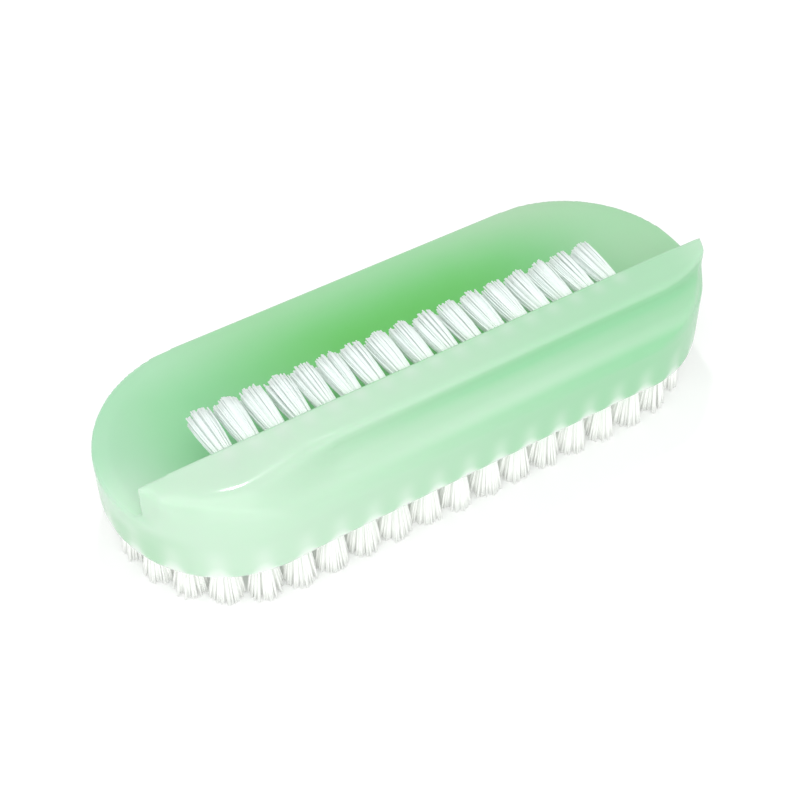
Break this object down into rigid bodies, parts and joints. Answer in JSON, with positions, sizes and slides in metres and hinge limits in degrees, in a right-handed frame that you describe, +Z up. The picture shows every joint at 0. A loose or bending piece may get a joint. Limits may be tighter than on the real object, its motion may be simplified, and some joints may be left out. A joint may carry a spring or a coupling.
{
  "type": "nail brush",
  "caption": "Double-sided nail brush: a stadium-shaped slab with scrubbing tufts below and a raised side grip whose row of nail tufts points across a shallow hollow.",
  "frame": {"origin": "centre of the bounding box's bottom, on the plane that the scrubbing tips rest on", "axes": "+X along the length, to the right as seen from the grip's side; +Y from the grip across the hollow; +Z up, away from the scrubbing tips"},
  "size_m": [0.095, 0.038, 0.021],
  "materials": {
    "mint_plastic": "glossy, translucent",
    "white_nylon": "satin",
    "anchor_wire": "satin"
  },
  "bodies": {
    "root": {"brush_body": "mint_plastic", "nail_tuft_01": "white_nylon", "nail_tuft_02": "white_nylon", "nail_tuft_03": "white_nylon", "nail_tuft_04": "white_nylon", "nail_tuft_05": "white_nylon", "nail_tuft_06": "white_nylon", "nail_tuft_07": "white_nylon", "nail_tuft_08": "white_nylon", "nail_tuft_09": "white_nylon", "nail_tuft_10": "white_nylon", "nail_tuft_11": "white_nylon", "nail_tuft_12": "white_nylon", "nail_tuft_13": "white_nylon", "nail_tuft_14": "white_nylon", "nail_tuft_15": "white_nylon", "nail_tuft_16": "white_nylon", "nail_tuft_17": "white_nylon", "outer_near_tufts": "white_nylon", "outer_right_tufts": "white_nylon", "outer_far_tufts": "white_nylon", "outer_left_tufts": "white_nylon", "middle_near_tufts": "white_nylon", "middle_right_tufts": "white_nylon", "middle_far_tufts": "white_nylon", "middle_left_tufts": "white_nylon", "inner_near_tufts": "white_nylon", "inner_far_tufts": "white_nylon", "nail_row_anchors": "anchor_wire", "outer_ring_anchors": "anchor_wire", "middle_ring_anchors": "anchor_wire", "inner_ring_anchors": "anchor_wire"}
  },
  "joints": []
}
